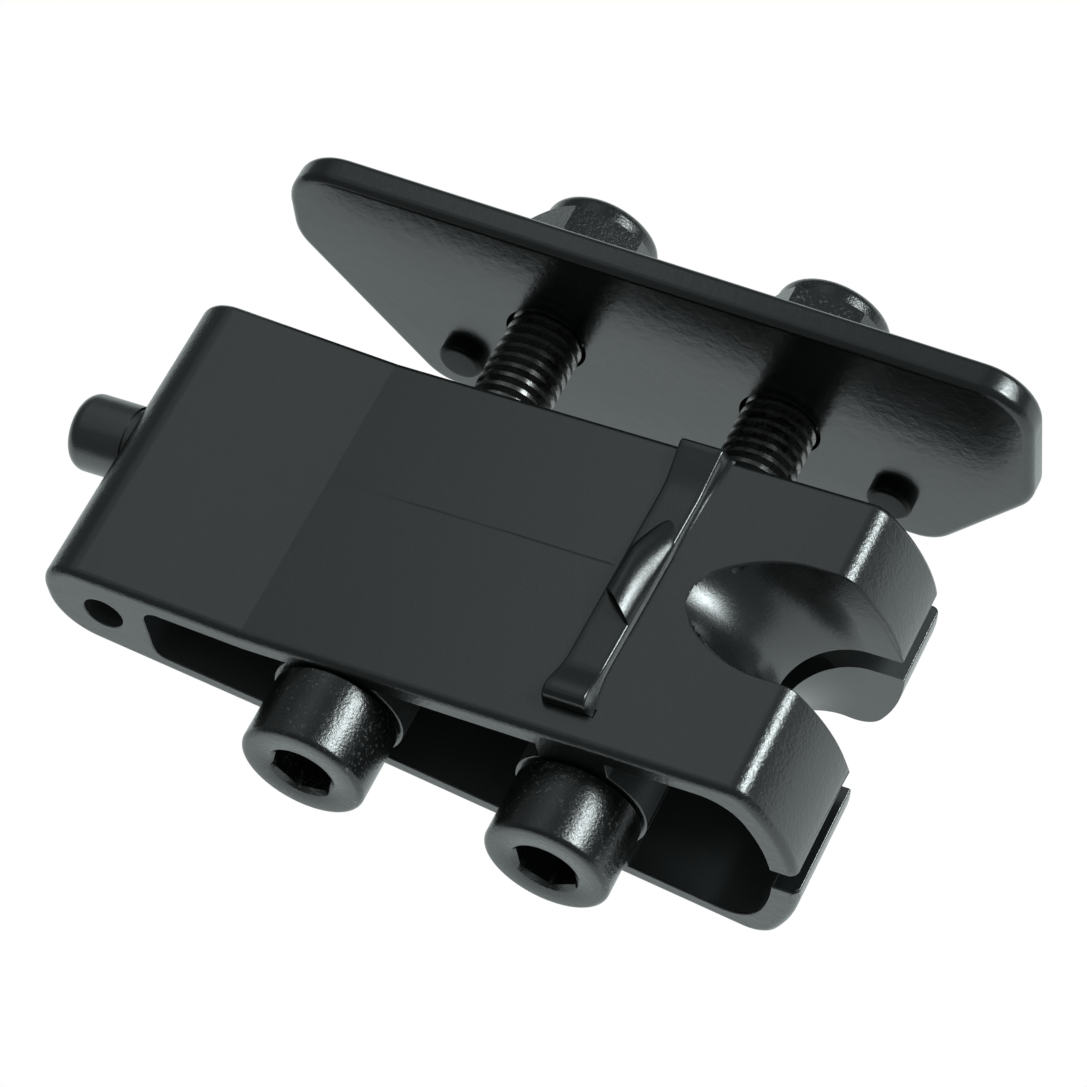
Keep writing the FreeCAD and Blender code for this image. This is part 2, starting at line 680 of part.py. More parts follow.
for side, sign in (("left", "-1"), ("right", "1")):
    # rubber grip stud, turned about its own Y axis
    stud = newBody(f"grip_stud_{side}")
    half = newSketch(stud, f"grip_stud_{side}_profile", "XY_Plane")
    drawLoop(half, [
        ("0", "-stud_height"),
        ("stud_radius", "-stud_height"),
        ("stud_radius", "0"),
        ("stem_radius", "0"),
        ("stem_radius", "plate_thick"),
        ("0", "plate_thick"),
    ])
    addTurned(stud, f"grip_stud_{side}_turned", half)
    addRound(stud, f"grip_stud_{side}_edge", rimAt("-stud_height", "stud_radius"), "stud_round")
    along = f"({sign} * stud_{side})"
    hang(stud, f"{along} * cos({roll}) - stud_drop * sin({roll})", "clamp_gap",
         f"-{along} * sin({roll}) - stud_drop * cos({roll})", roll)

    # socket cap screw, head towards the front
    x, z = screws[side]
    bolt = newBody(f"clamp_bolt_{side}")
    half = newSketch(bolt, f"clamp_bolt_{side}_profile", "XY_Plane")
    drawLoop(half, [
        ("0", "-head_height"),
        ("head_diameter / 2", "-head_height"),
        ("head_diameter / 2", "0"),
        ("thread_diameter / 2", "0"),
        ("thread_diameter / 2", f"{boltLength} - bolt_point"),
        ("thread_diameter / 2 - bolt_point", boltLength),
        ("0", boltLength),
    ])
    addTurned(bolt, f"clamp_bolt_{side}_turned", half)
    addRound(bolt, f"clamp_bolt_{side}_rim", rimAt("-head_height", "head_diameter / 2"), "head_round")
    key = newSketch(bolt, f"clamp_bolt_{side}_socket_outline", "XZ_Plane", "head_height")
    drawHexagon(key, "socket_width", f"socket_turn_{side}")
    addPocket(bolt, f"clamp_bolt_{side}_socket", key, "socket_depth")
    hang(bolt, x, "-body_width - head_gap", z, "0")

    # lock nut: hexagon with turned corners, domed collar and a groove for its ring
    nut = newBody(f"lock_nut_{side}")
    hexagon = newSketch(nut, f"lock_nut_{side}_hexagon", "XZ_Plane")
    drawHexagon(hexagon, "nut_width", "nut_turn")
    addPad(nut, f"lock_nut_{side}_block", hexagon, "nut_hex_height", flipped=True)
    trim = newSketch(nut, f"lock_nut_{side}_trim", "XY_Plane")
    flatR = "(nut_width / 2 - nut_chamfer / 10)"
    wide = "(nut_width * 0.62)"
    fall = f"(({wide} - {flatR}) * 0.577)"
    drawLoop(trim, [(flatR, "0"), (wide, "0"), (wide, fall)], "foot")
    drawLoop(trim, [(flatR, "nut_hex_height"), (wide, f"nut_hex_height - {fall}"), (wide, "nut_hex_height")], "head")
    addTurned(nut, f"lock_nut_{side}_corners", trim, cut=True)
    half = newSketch(nut, f"lock_nut_{side}_flange_profile", "XY_Plane")
    drawLoop(half, [
        ("0", "0"),
        ("flange_radius", "0"),
        ("flange_radius", "flange_height"),
        ("nut_width / 2", "flange_height + flange_rise"),
        ("0", "flange_height + flange_rise"),
    ])
    addTurned(nut, f"lock_nut_{side}_flange", half)
    addRound(nut, f"lock_nut_{side}_flange_edge", rimAt("flange_height", "flange_radius"), "flange_height * 0.45")
    half = newSketch(nut, f"lock_nut_{side}_collar_profile", "XY_Plane")
    drawLoop(half, [
        ("0", "nut_hex_height / 2"),
        ("collar_radius", "nut_hex_height / 2"),
        ("collar_radius", "nut_height"),
        ("0", "nut_height"),
    ])
    addTurned(nut, f"lock_nut_{side}_collar", half)
    addRound(nut, f"lock_nut_{side}_dome", rimAt("nut_height", "collar_radius"), "collar_round")
    bore = newSketch(nut, f"lock_nut_{side}_bore_profile", "XY_Plane")
    ringLow = "(nut_height - crimp_height - insert_height)"
    ringHigh = "(nut_height - crimp_height)"
    threadR = "(thread_diameter / 2 + thread_clearance)"
    drawLoop(bore, [
        ("0", "0"),
        (threadR, "0"),
        (threadR, ringLow),
        ("insert_radius", ringLow),
        ("insert_radius", ringHigh),
        ("crimp_radius", ringHigh),
        ("crimp_radius", "nut_height"),
        ("0", "nut_height"),
    ])
    addTurned(nut, f"lock_nut_{side}_bore", bore, cut=True)
    hang(nut, x, "clamp_gap + plate_thick", z, "0")

    # plastic ring in the nut's groove
    ring = newBody(f"nut_insert_{side}")
    half = newSketch(ring, f"nut_insert_{side}_profile", "XY_Plane")
    ringR = "(insert_radius - stem_clearance)"
    drawLoop(half, [(threadR, ringLow), (ringR, ringLow), (ringR, ringHigh), (threadR, ringHigh)])
    addTurned(ring, f"nut_insert_{side}_turned", half)
    hang(ring, x, "clamp_gap + plate_thick", z, "0")

doc.recompute()
bodies = [item for item in doc.Objects if item.TypeId == "PartDesign::Body"]
for item in doc.Objects:
    if "Invalid" in item.State or "Error" in item.State:
        raise RuntimeError(f"{item.Label} did not build: {item.State}")
for body in bodies:
    shape = body.Shape
    if shape.isNull() or not shape.isValid() or len(shape.Solids) != 1:
        raise RuntimeError(f"{body.Label} is not one good solid")
os.makedirs("parts", exist_ok=True)
for body in bodies:
    body.Shape.exportStep(f"parts/{body.Label}.step")
    box = body.Shape.BoundBox
    print(f"{body.Label}: {box.XLength:.1f} x {box.YLength:.1f} x {box.ZLength:.1f} mm, {body.Shape.Volume:.0f} mm3")
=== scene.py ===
import math

import bmesh
import bpy
from mathutils import Matrix, Vector
from mathutils.bvhtree import BVHTree


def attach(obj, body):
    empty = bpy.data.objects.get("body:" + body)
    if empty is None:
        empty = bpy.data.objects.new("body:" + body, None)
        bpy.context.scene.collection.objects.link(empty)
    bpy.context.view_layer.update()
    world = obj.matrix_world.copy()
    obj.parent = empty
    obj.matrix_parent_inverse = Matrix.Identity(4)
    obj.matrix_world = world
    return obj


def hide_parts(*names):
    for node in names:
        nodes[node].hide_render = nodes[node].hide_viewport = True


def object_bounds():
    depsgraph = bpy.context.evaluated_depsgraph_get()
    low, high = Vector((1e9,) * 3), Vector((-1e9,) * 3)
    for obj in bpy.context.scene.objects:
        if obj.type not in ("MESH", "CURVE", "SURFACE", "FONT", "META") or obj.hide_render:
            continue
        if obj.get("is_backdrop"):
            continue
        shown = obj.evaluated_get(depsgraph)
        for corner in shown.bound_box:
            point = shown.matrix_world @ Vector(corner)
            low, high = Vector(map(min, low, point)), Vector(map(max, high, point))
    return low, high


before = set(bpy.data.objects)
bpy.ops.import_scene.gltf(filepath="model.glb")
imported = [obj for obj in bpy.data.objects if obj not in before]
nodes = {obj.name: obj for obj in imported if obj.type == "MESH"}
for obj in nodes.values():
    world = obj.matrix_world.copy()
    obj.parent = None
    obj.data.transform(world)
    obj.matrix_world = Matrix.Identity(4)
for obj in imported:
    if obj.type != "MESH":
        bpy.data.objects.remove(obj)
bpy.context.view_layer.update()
print("frame loaded")

# Sizes are in metres, colours are linear.
mm = 0.001

castingLook = {
    "colour": (0.0068, 0.0079, 0.0079),
    "dust": (0.0125, 0.0140, 0.0140),
    "roughness": 0.25,
    "roughnessSpread": 0.10,
    "index": 1.80,
    # painted bounce light: the walls deep in the pockets get this lighter colour in place of the light the
    # floor would throw into them
    "inner": (0.050, 0.056, 0.056),
    "innerRoughness": 0.25,
    "peelScale": 600.0,
    "peelDepth": 0.000030,
    "grainScale": 2700.0,
    "grainDepth": 0.000050,
    "partingY": -0.0152,
    "partingWidth": 0.12 * mm,
    "partingWander": 0.3 * mm,
    "partingDepth": 0.035 * mm,
    "partingEnd": (8.0 * mm, 9.0 * mm),
    "flatAngle": 0.6,
    "edgeAngle": 38.0,
    "edgeBreak": 0.19 * mm,
    "weld": 0.035 * mm,
    "tabSpan": (8.5 * mm, 14.6 * mm),
    "tabLevel": 5.0 * mm,
    "innerReach": 40.0 * mm,
    "innerLift": 0.02 * mm,
    "innerSpan": (-34.5 * mm, -0.5 * mm),
    "innerFacing": 0.9,
    "topFacing": 0.97,
    "topTexture": 0.18,
    "troughStart": 14.0 * mm,
    "troughY": -15.7 * mm,
    "troughReach": 6.9 * mm,
    "troughTexture": 0.3,
    "slotTop": -2.5 * mm,
    "creaseX": -22.2 * mm,
}
plateLook = {
    "colour": (0.0060, 0.0070, 0.0070),
    "dust": (0.0110, 0.0125, 0.0125),
    "roughness": 0.22,
    "roughnessSpread": 0.08,
    "index": 1.70,
    "peelScale": 850.0,
    "peelDepth": 0.000022,
    "grainScale": 2600.0,
    "grainDepth": 0.000014,
    "holeRadius": 4.42 * mm,
    "holeZone": 6.0 * mm,
}
pinLook = {
    "colour": (0.0130, 0.0145, 0.0145),
    "dust": (0.026, 0.028, 0.028),
    "roughness": 0.30,
    "roughnessSpread": 0.12,
    "index": 1.95,
    "peelScale": 900.0,
    "peelDepth": 0.000016,
    "grainScale": 3000.0,
    "grainDepth": 0.000014,
}
stripLook = {
    "colour": (0.0062, 0.0071, 0.0071),
    "dust": (0.0115, 0.0130, 0.0130),
    "roughness": 0.22,
    "roughnessSpread": 0.10,
    "index": 1.66,
    "peelScale": 900.0,
    "peelDepth": 0.000016,
    "grainScale": 3000.0,
    "grainDepth": 0.000014,
}
steelLook = {
    "colour": (0.0090, 0.0098, 0.0098),
    "worn": (0.30, 0.30, 0.295),
    "roughness": 0.23,
    "roughnessSpread": 0.14,
    "metallic": 0.06,
    "index": 1.72,
    "grainScale": 3000.0,
    "grainDepth": 0.000042,
    "speckScale": 2300.0,
    "speckFrom": 0.57,
    "patchFrom": 0.46,
}
threadLook = {
    "colour": (0.050, 0.050, 0.049),
    "worn": (0.20, 0.195, 0.19),
    "roughness": 0.20,
    "roughnessSpread": 0.12,
    "metallic": 0.40,
    "index": 1.95,
    "grainScale": 3000.0,
    "grainDepth": 0.000008,
    "speckScale": 900.0,
    "speckFrom": 0.40,
    "patchFrom": 0.30,
}
rubberLook = {
    "colour": (0.0040, 0.0042, 0.0044),
    "pale": (0.0070, 0.0072, 0.0075),
    "roughness": 0.42,
    "index": 1.28,
}
nylonLook = {
    "colour": (0.010, 0.011, 0.013),
    "pale": (0.020, 0.022, 0.025),
    "roughness": 0.40,
    "index": 1.50,
}
# scales of the noises that all pieces of one kind share
paintNoise = {"cloud": 60.0, "fine": 2400.0, "fineSpread": 0.10, "wander": 90.0, "gaps": 35.0}
steelNoise = {"cloud": 160.0, "fineSpread": 0.12}
softNoise = {"cloud": 900.0, "spread": 0.2, "depth": 0.02 * mm}
leastRoughness = 0.08


class Term:
    def __init__(self, tree, socket=None):
        self.tree = tree
        self.socket = socket

    def node(self, kind, inputs=None, output=0, **settings):
        made = self.tree.nodes.new(kind)
        for key, setting in settings.items():
            setattr(made, key, setting)
        for key, item in (inputs or {}).items():
            if isinstance(item, Term):
                self.tree.links.new(item.socket, made.inputs[key])
            else:
                made.inputs[key].default_value = item
        return Term(self.tree, made.outputs[output])

    def maths(self, operation, *others):
        return self.node("ShaderNodeMath", dict(enumerate((self,) + others)), operation=operation)

    def __add__(self, other):
        return self.maths("ADD", other)

    __radd__ = __add__

    def __sub__(self, other):
        return self.maths("SUBTRACT", other)

    def __rsub__(self, other):
        return (self * -1.0) + other

    def __mul__(self, other):
        return self.maths("MULTIPLY", other)

    __rmul__ = __mul__

    def __truediv__(self, other):
        return self.maths("DIVIDE", other)

    def __rtruediv__(self, other):
        return self.maths("POWER", -1.0) * other

    def __abs__(self):
        return self.maths("ABSOLUTE")

    def ramp(self, low, high):
        return self.node("ShaderNodeMapRange", {0: self, 1: low, 2: high, 3: 0.0, 4: 1.0}, clamp=True)


def mixColour(start, factor, first, second):
    made = start.tree.nodes.new("ShaderNodeMix")
    made.data_type = "RGBA"
    start.tree.links.new(factor.socket, made.inputs["Factor"])
    for socket, item in ((made.inputs[6], first), (made.inputs[7], second)):
        if isinstance(item, Term):
            start.tree.links.new(item.socket, socket)
        else:
            socket.default_value = (*item, 1.0)
    return Term(start.tree, made.outputs[2])


def newMaterial(name):
    material = bpy.data.materials.new(name)
    material.use_nodes = True
    tree = material.node_tree
    shader = tree.nodes["Principled BSDF"]
    start = Term(tree)
    place = start.node("ShaderNodeTexCoord", output="Object")
    return material, shader, start, place


def feed(start, item, shader, name):
    start.tree.links.new(item.socket, shader.inputs[name])


def noise(start, place, scale, detail=2.0, roughness=0.5):
    return start.node("ShaderNodeTexNoise", {
        "Vector": place, "Scale": scale, "Detail": detail, "Roughness": roughness})


def bump(start, height, distance, before=None):
    inputs = {"Height": height, "Distance": distance, "Strength": 1.0}
    if before is not None:
        inputs["Normal"] = before
    return start.node("ShaderNodeBump", inputs)


def paintMaterial(name, look):
    # sprayed black paint: soft waves, a fine grain that breaks up the highlights, faint clouds
    material, shader, start, place = newMaterial(name)
    cloud = noise(start, place, paintNoise["cloud"], 4.0, 0.6)
    fine = noise(start, place, paintNoise["fine"], 3.0, 0.65)
    dusty = cloud.ramp(0.3, 0.75) * 0.5 + fine.ramp(0.5, 0.9) * 0.3
    colour = mixColour(start, dusty, look["colour"], look["dust"])
    spread = (cloud - 0.5) * look["roughnessSpread"] + (fine - 0.5) * paintNoise["fineSpread"]
    roughness = spread + look["roughness"]
    waves = noise(start, place, look["peelScale"], 1.0)
    grain = noise(start, place, look["grainScale"], 2.0, 0.7)
    if "inner" in look:
        inner = start.node("ShaderNodeAttribute", output="Fac", attribute_name="inner")
        textured = start.node("ShaderNodeAttribute", output="Fac", attribute_name="textured")
        # painted bounce light: faces marked as pocket walls are lightened towards the 'inner' colour
        colour = mixColour(start, inner, colour, look["inner"])
        roughness = roughness + inner * look["innerRoughness"]
        waves = waves * textured
        grain = grain * textured
    feed(start, colour, shader, "Base Color")
    feed(start, roughness.maths("MAXIMUM", leastRoughness), shader, "Roughness")
    shader.inputs["IOR"].default_value = look["index"]
    normal = bump(start, waves, look["peelDepth"])
    normal = bump(start, grain, look["grainDepth"], normal)
    if "partingY" in look:
        axes = start.node("ShaderNodeSeparateXYZ", {0: place})
        alongX, alongY = (Term(start.tree, axes.socket.node.outputs[index]) for index in (0, 1))
        wander = noise(start, place, paintNoise["wander"], 2.0)
        offset = abs(alongY - look["partingY"] + (wander - 0.5) * look["partingWander"])
        line = 1.0 - offset.ramp(0.0, look["partingWidth"])
        flatTop = 1.0 - alongX.ramp(*look["partingEnd"])
        shown = noise(start, place, paintNoise["gaps"], 2.0).ramp(0.36, 0.56) * flatTop
        normal = bump(start, line * shown, look["partingDepth"], normal)
    feed(start, normal, shader, "Normal")
    return material


def steelMaterial(name, look):
    # blackened steel: dark coat with bright specks where it is worn
    material, shader, start, place = newMaterial(name)
    cloud = noise(start, place, steelNoise["cloud"], 4.0, 0.6)
    fine = noise(start, place, look["speckScale"], 3.0, 0.7)
    specks = fine.ramp(look["speckFrom"], look["speckFrom"] + 0.12)
    worn = specks * cloud.ramp(look["patchFrom"], look["patchFrom"] + 0.2)
    feed(start, mixColour(start, worn, look["colour"], look["worn"]), shader, "Base Color")
    spread = (cloud - 0.5) * look["roughnessSpread"] + (fine - 0.5) * steelNoise["fineSpread"]
    feed(start, (spread + look["roughness"]).maths("MAXIMUM", leastRoughness), shader, "Roughness")
    feed(start, worn * (1.0 - look["metallic"]) + look["metallic"], shader, "Metallic")
    shader.inputs["IOR"].default_value = look["index"]
    normal = bump(start, noise(start, place, look["grainScale"], 2.0, 0.7), look["grainDepth"])
    feed(start, normal, shader, "Normal")
    return material


def softMaterial(name, look):
    material, shader, start, place = newMaterial(name)
    # rubber and nylon: dull, with faint pale clouds
    cloud = noise(start, place, softNoise["cloud"], 4.0, 0.6)
    feed(start, mixColour(start, cloud.ramp(0.45, 0.75), look["colour"], look["pale"]), shader, "Base Color")
    feed(start, (cloud - 0.5) * softNoise["spread"] + look["roughness"], shader, "Roughness")
    feed(start, bump(start, cloud, softNoise["depth"]), shader, "Normal")
    shader.inputs["IOR"].default_value = look["index"]
    return material


materials = {
    "casting": paintMaterial("casting_paint", castingLook),
    "plate": paintMaterial("plate_paint", plateLook),
    "pin": paintMaterial("pin_paint", pinLook),
    "strip": paintMaterial("strip_paint", stripLook),
    "steel": steelMaterial("black_steel", steelLook),
    "thread": steelMaterial("thread_steel", threadLook),
    "rubber": softMaterial("stud_rubber", rubberLook),
    "nylon": softMaterial("ring_nylon", nylonLook),
}
print("materials made")


def newPiece(name, mesh, body, replaced=None):
    piece = bpy.data.objects.new(name, mesh)
    bpy.context.scene.collection.objects.link(piece)
    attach(piece, body)
    if replaced:
        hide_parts(replaced)
    return piece


def smoothByAngle(mesh, degrees):
    work = bmesh.new()
    work.from_mesh(mesh)
    bmesh.ops.remove_doubles(work, verts=work.verts, dist=1e-7)
    for face in work.faces:
        face.smooth = True
    for edge in work.edges:
        edge.smooth = len(edge.link_faces) == 2 and edge.calc_face_angle() < math.radians(degrees)
    work.to_mesh(mesh)
    work.free()


def finishedCopy(nodeName, material, body, degrees=28.0):
    # a smooth-shaded stand-in for one constructed piece
    mesh = nodes[nodeName].data.copy()
    mesh.name = f"{nodeName}_finish"
    if mesh.has_custom_normals:
        work = bmesh.new()
        work.from_mesh(mesh)
        clean = bpy.data.meshes.new(f"{nodeName}_finish")
        work.to_mesh(clean)
        work.free()
        mesh = clean
        if "custom_normal" in mesh.attributes:
            mesh.attributes.remove(mesh.attributes["custom_normal"])
    mesh.materials.clear()
    mesh.materials.append(material)
    for face in mesh.polygons:
        face.material_index = 0
    smoothByAngle(mesh, degrees)
    return newPiece(f"{nodeName}_finish", mesh, body, nodeName)


def inTrough(place, look):
    return place.x > look["troughStart"] and abs(place.y - look["troughY"]) < look["troughReach"]


def markFaces(mesh, look):
    # per face corner: how much paint texture shows, and which faces look onto another wall of the casting;
    # those pocket walls get painted bounce light
    corners = [corner.co for corner in mesh.vertices]
    tree = BVHTree.FromPolygons(corners, [face.vertices for face in mesh.polygons])
    textured = mesh.attributes.new("textured", "FLOAT", "CORNER")
    inner = mesh.attributes.new("inner", "FLOAT", "CORNER")
    for face in mesh.polygons:
        face.material_index = 0
        start = face.center + face.normal * look["innerLift"]
        facing = tree.ray_cast(start, face.normal, look["innerReach"])[0] is not None
        front, back = look["innerSpan"]
        ended = abs(face.normal.y) > look["innerFacing"] and front < face.center.y < back
        trough = inTrough(face.center, look)
        share = 1.0
        if face.normal.z > look["topFacing"]:
            share = look["topTexture"]
        elif trough:
            share = look["troughTexture"]
        for corner in face.loop_indices:
            textured.data[corner].value = share
            inner.data[corner].value = 1.0 if (facing or ended) and not trough else 0.0


def bevelledCopy(nodeName, material, body, look):
    # the casting with its plain edges broken, so that each edge catches a thin line of light
    mesh = nodes[nodeName].data.copy()
    work = bmesh.new()
    work.from_mesh(mesh)
    bmesh.ops.remove_doubles(work, verts=work.verts, dist=look["weld"])
    flat = math.radians(look["flatAngle"])
    bmesh.ops.dissolve_limit(work, angle_limit=flat, verts=work.verts, edges=work.edges)
    weights = work.edges.layers.float.new("bevel_weight_edge")
    for face in work.faces:
        face.smooth = True
    for edge in work.edges:
        # plain corners: the slots for the strip's tabs, out of sight, and the trough's rim at the cross slot
        middle = (edge.verts[0].co + edge.verts[1].co) / 2
        underStrip = look["tabSpan"][0] < middle.x < look["tabSpan"][1] and middle.z > look["tabLevel"]
        plain = underStrip or inTrough(middle, look) and middle.z < look["slotTop"]
        sharp = len(edge.link_faces) == 2 and edge.calc_face_angle() > math.radians(look["edgeAngle"])
        edge[weights] = 1.0 if sharp and not plain else 0.0
        # the slight crease across the top shows as a line, out to both rounded edges
        creased = [abs(end.co.x - look["creaseX"]) < look["weld"] for end in edge.verts]
        edge.smooth = not (middle.z > 0.0 and all(creased) or sharp and plain)
    bare = bpy.data.meshes.new(f"{nodeName}_bare")
    work.to_mesh(bare)
    work.free()
    if "custom_normal" in bare.attributes:
        bare.attributes.remove(bare.attributes["custom_normal"])
    holder = bpy.data.objects.new(f"{nodeName}_bare", bare)
    bpy.context.scene.collection.objects.link(holder)
    broken = holder.modifiers.new("broken edges", "BEVEL")
    broken.width = look["edgeBreak"]
    broken.segments = 3
    broken.use_clamp_overlap = False
    broken.limit_method = "WEIGHT"
    evened = holder.modifiers.new("even shading", "WEIGHTED_NORMAL")
    evened.mode = "FACE_AREA"
    evened.keep_sharp = True
    view = bpy.context.evaluated_depsgraph_get()
    made = bpy.data.meshes.new_from_object(holder.evaluated_get(view))
    made.name = f"{nodeName}_finish"
    bpy.data.objects.remove(holder)
    made.materials.clear()
    made.materials.append(material)
    markFaces(made, look)
    return newPiece(f"{nodeName}_finish", made, body, nodeName)


bevelledCopy("bracket_body", materials["casting"], "bracket", castingLook)
finishedCopy("nose_pin", materials["pin"], "bracket")
finishedCopy("pin_set_screw", materials["steel"], "bracket")
plate = finishedCopy("clamp_plate", materials["plate"], "clamp")


screws = {
    "left": {"sign": -1, "socketTurn": 11.0, "nutTurn": -25.0},
    "right": {"sign": 1, "socketTurn": 30.0, "nutTurn": 22.0},
}
screwLine = {"pitch": 25.6 * mm, "tilt": math.radians(6.6)}


def screwCentre(screw):
    along = screwLine["pitch"] / 2 * screw["sign"]
    return Vector((along * math.cos(screwLine["tilt"]), 0.0, -along * math.sin(screwLine["tilt"])))


for side, screw in screws.items():
    # the painted holes sit close round the threads
    centre = screwCentre(screw)
    for corner in plate.data.vertices:
        away = Vector((corner.co.x - centre.x, 0.0, corner.co.z - centre.z))
        if away.length < plateLook["holeZone"]:
            corner.co += away.normalized() * (plateLook["holeRadius"] - away.length)
    finishedCopy(f"grip_stud_{side}", materials["rubber"], "clamp")
    nut = finishedCopy(f"lock_nut_{side}", materials["steel"], "clamp")
    turned = Matrix.Rotation(math.radians(screw["nutTurn"]), 4, "Y")
    nut.data.transform(Matrix.Translation(centre) @ turned @ Matrix.Translation(-centre))
    finishedCopy(f"nut_insert_{side}", materials["nylon"], "clamp")
print("constructed pieces finished")


# Catch strip: pressed from sheet, raised at both ends, with a lanced scoop that opens to the front.
# Millimetres here: each station has y, left edge, right edge, top level and the right skirt's foot.
stripForm = {
    "seat": 8.78,
    "edgeRound": 0.34,
    "edgeShare": 0.45,
    "edgeSteps": 5,
    "topSteps": 6,
    "footSpread": 0.03,
    "skirtSteps": 5,
    "skirtSag": 0.12,
    "shadeAngle": 50.0,
    "stations": (
        (-0.05, 9.12, 13.70, 9.95, 14.60),
        (-0.25, 9.08, 13.72, 10.40, 14.58),
        (-0.65, 9.07, 13.72, 10.60, 14.52),
        (-1.60, 9.13, 13.68, 10.45, 14.38),
        (-3.10, 9.24, 13.60, 10.14, 14.16),
        (-4.60, 9.34, 13.54, 9.83, 13.98),
        (-5.70, 9.36, 13.52, 9.68, 13.90),
        (-7.20, 9.35, 13.49, 9.66, 13.84),
        (-9.80, 9.30, 13.43, 9.66, 13.72),
        (-13.0, 9.24, 13.36, 9.66, 13.46),
        (-20.0, 9.11, 13.19, 9.66, 13.29),
        (-26.4, 9.00, 13.04, 9.66, 13.14),
        (-27.9, 8.93, 13.06, 9.88, 13.20),
        (-29.4, 8.79, 13.10, 10.38, 13.42),
        (-30.5, 8.67, 13.13, 10.60, 13.72),
        (-31.2, 8.66, 13.16, 10.52, 13.84),
        (-31.62, 8.70, 13.20, 10.18, 13.86),
        (-31.80, 8.76, 13.26, 9.70, 13.84),
    ),
    "scoopTip": -9.0,
    "scoopTipX": 11.85,
    "scoopMouth": (-18.8, -21.6),
    "scoopRise": 1.66,
    "scoopWall": 0.42,
    "scoopLean": 0.66,
    "scoopBow": 0.62,
    "scoopCrest": (0.86, 0.9),
    "scoopOpenLeft": (0.45, 0.6),
    "scoopOpenRight": (0.22, 0.55),
    "scoopInset": (0.40, 0.04),
    "scoopSink": (0.06, 0.12),
    "scoopRows": 28,
    "scoopColumns": 30,
}


def between(stations, y):
    # smooth values at one place along the strip
    for index in range(len(stations) - 1):
        first, second = stations[index], stations[index + 1]
        if first[0] >= y >= second[0]:
            before = stations[max(index - 1, 0)]
            after = stations[min(index + 2, len(stations) - 1)]
            share = (first[0] - y) / (first[0] - second[0])
            blended = []
            for item in range(1, len(first)):
                riseIn = (second[item] - before[item]) / (second[0] - before[0]) * (second[0] - first[0])
                riseOut = (after[item] - first[item]) / (after[0] - first[0]) * (second[0] - first[0])
                cube, square = share ** 3, share ** 2
                blended.append(
                    (2 * cube - 3 * square + 1) * first[item] + (cube - 2 * square + share) * riseIn
                    + (3 * square - 2 * cube) * second[item] + (cube - square) * riseOut)
            return blended
    return list(stations[-1][1:])


def stripSection(form, y):
    left, right, top, foot = between(form["stations"], y)
    seat = form["seat"]
    edge = min(form["edgeRound"], (top - seat) * form["edgeShare"])
    angles = [math.radians(90.0 * step / form["edgeSteps"]) for step in range(form["edgeSteps"] + 1)]
    points = [(left - form["footSpread"], seat)]
    for angle in angles:
        points.append((left + edge - edge * math.cos(angle), top - edge + edge * math.sin(angle)))
    for step in range(1, form["topSteps"]):
        share = step / form["topSteps"]
        points.append((left + edge + (right - left - 2 * edge) * share, top))
    for angle in angles:
        points.append((right - edge + edge * math.sin(angle), top - edge + edge * math.cos(angle)))
    for step in range(1, form["skirtSteps"] + 1):
        share = step / form["skirtSteps"]
        sag = form["skirtSag"] * math.sin(math.pi * share) * (foot - right)
        points.append((right + (foot - right) * share - sag, top - edge - (top - edge - seat) * share - sag))
    return points


def addGrid(work, rows, closed):
    placed = [[work.verts.new((x * mm, y * mm, z * mm)) for x, y, z in row] for row in rows]
    count = len(rows[0])
    for first, second in zip(placed, placed[1:]):
        for index in range(count if closed else count - 1):
            following = (index + 1) % count
            work.faces.new((first[index], first[following], second[following], second[index]))
    return placed


def stripMesh(form):
    work = bmesh.new()
    stations = form["stations"]
    along = []
    for first, second in zip(stations, stations[1:]):
        count = 5 if first[0] - second[0] > 0.5 else 3
        along += [first[0] + (second[0] - first[0]) * step / count for step in range(count)]
    along.append(stations[-1][0])
    placed = addGrid(work, [[(x, y, z) for x, z in stripSection(form, y)] for y in along], True)
    work.faces.new(placed[0])
    work.faces.new(placed[-1])

    def opened(side, share):
        full, power = form[side]
        return min(1.0, share / full) ** power

    def scoopPoint(share, across, inside):
        mouthLeft, mouthRight = form["scoopMouth"]
        y = form["scoopTip"] + share * (mouthLeft + (mouthRight - mouthLeft) * across - form["scoopTip"])
        left, right, top = between(stations, y)[:3]
        tip = form["scoopTipX"]
        insetLeft, insetRight = form["scoopInset"]
        left = tip + (left + insetLeft - tip) * opened("scoopOpenLeft", share)
        right = tip + (right - insetRight - tip) * opened("scoopOpenRight", share)
        crestAt, crestPower = form["scoopCrest"]
        rise = form["scoopRise"] * math.sin(min(1.0, share / crestAt) * math.pi / 2) ** crestPower
        bow = max(0.0, math.sin(math.pi * across ** form["scoopLean"])) ** form["scoopBow"]
        wall = form["scoopWall"] * inside
        inner = wall * (1.0 - 2.0 * across)
        sink, deepest = form["scoopSink"]
        height = max(top - deepest, top - sink + rise * bow - wall)
        return (left + (right - left) * across + inner, y, height)

    rows, columns = form["scoopRows"], form["scoopColumns"]
    skins = []
    for inside in (0.0, 1.0):
        grid = [[scoopPoint(row / rows, column / columns, inside) for column in range(columns + 1)]
                for row in range(rows + 1)]
        skins.append(addGrid(work, grid, False))
    outer, inner = skins
    for index in range(columns):
        work.faces.new((outer[-1][index], outer[-1][index + 1], inner[-1][index + 1], inner[-1][index]))
    bmesh.ops.recalc_face_normals(work, faces=work.faces)
    mesh = bpy.data.meshes.new("catch_strip_pressed")
    work.to_mesh(mesh)
    work.free()
    mesh.materials.append(materials["strip"])
    smoothByAngle(mesh, form["shadeAngle"])
    return mesh


newPiece("catch_strip_pressed", stripMesh(stripForm), "bracket", "catch_strip")
print("strip pressed")


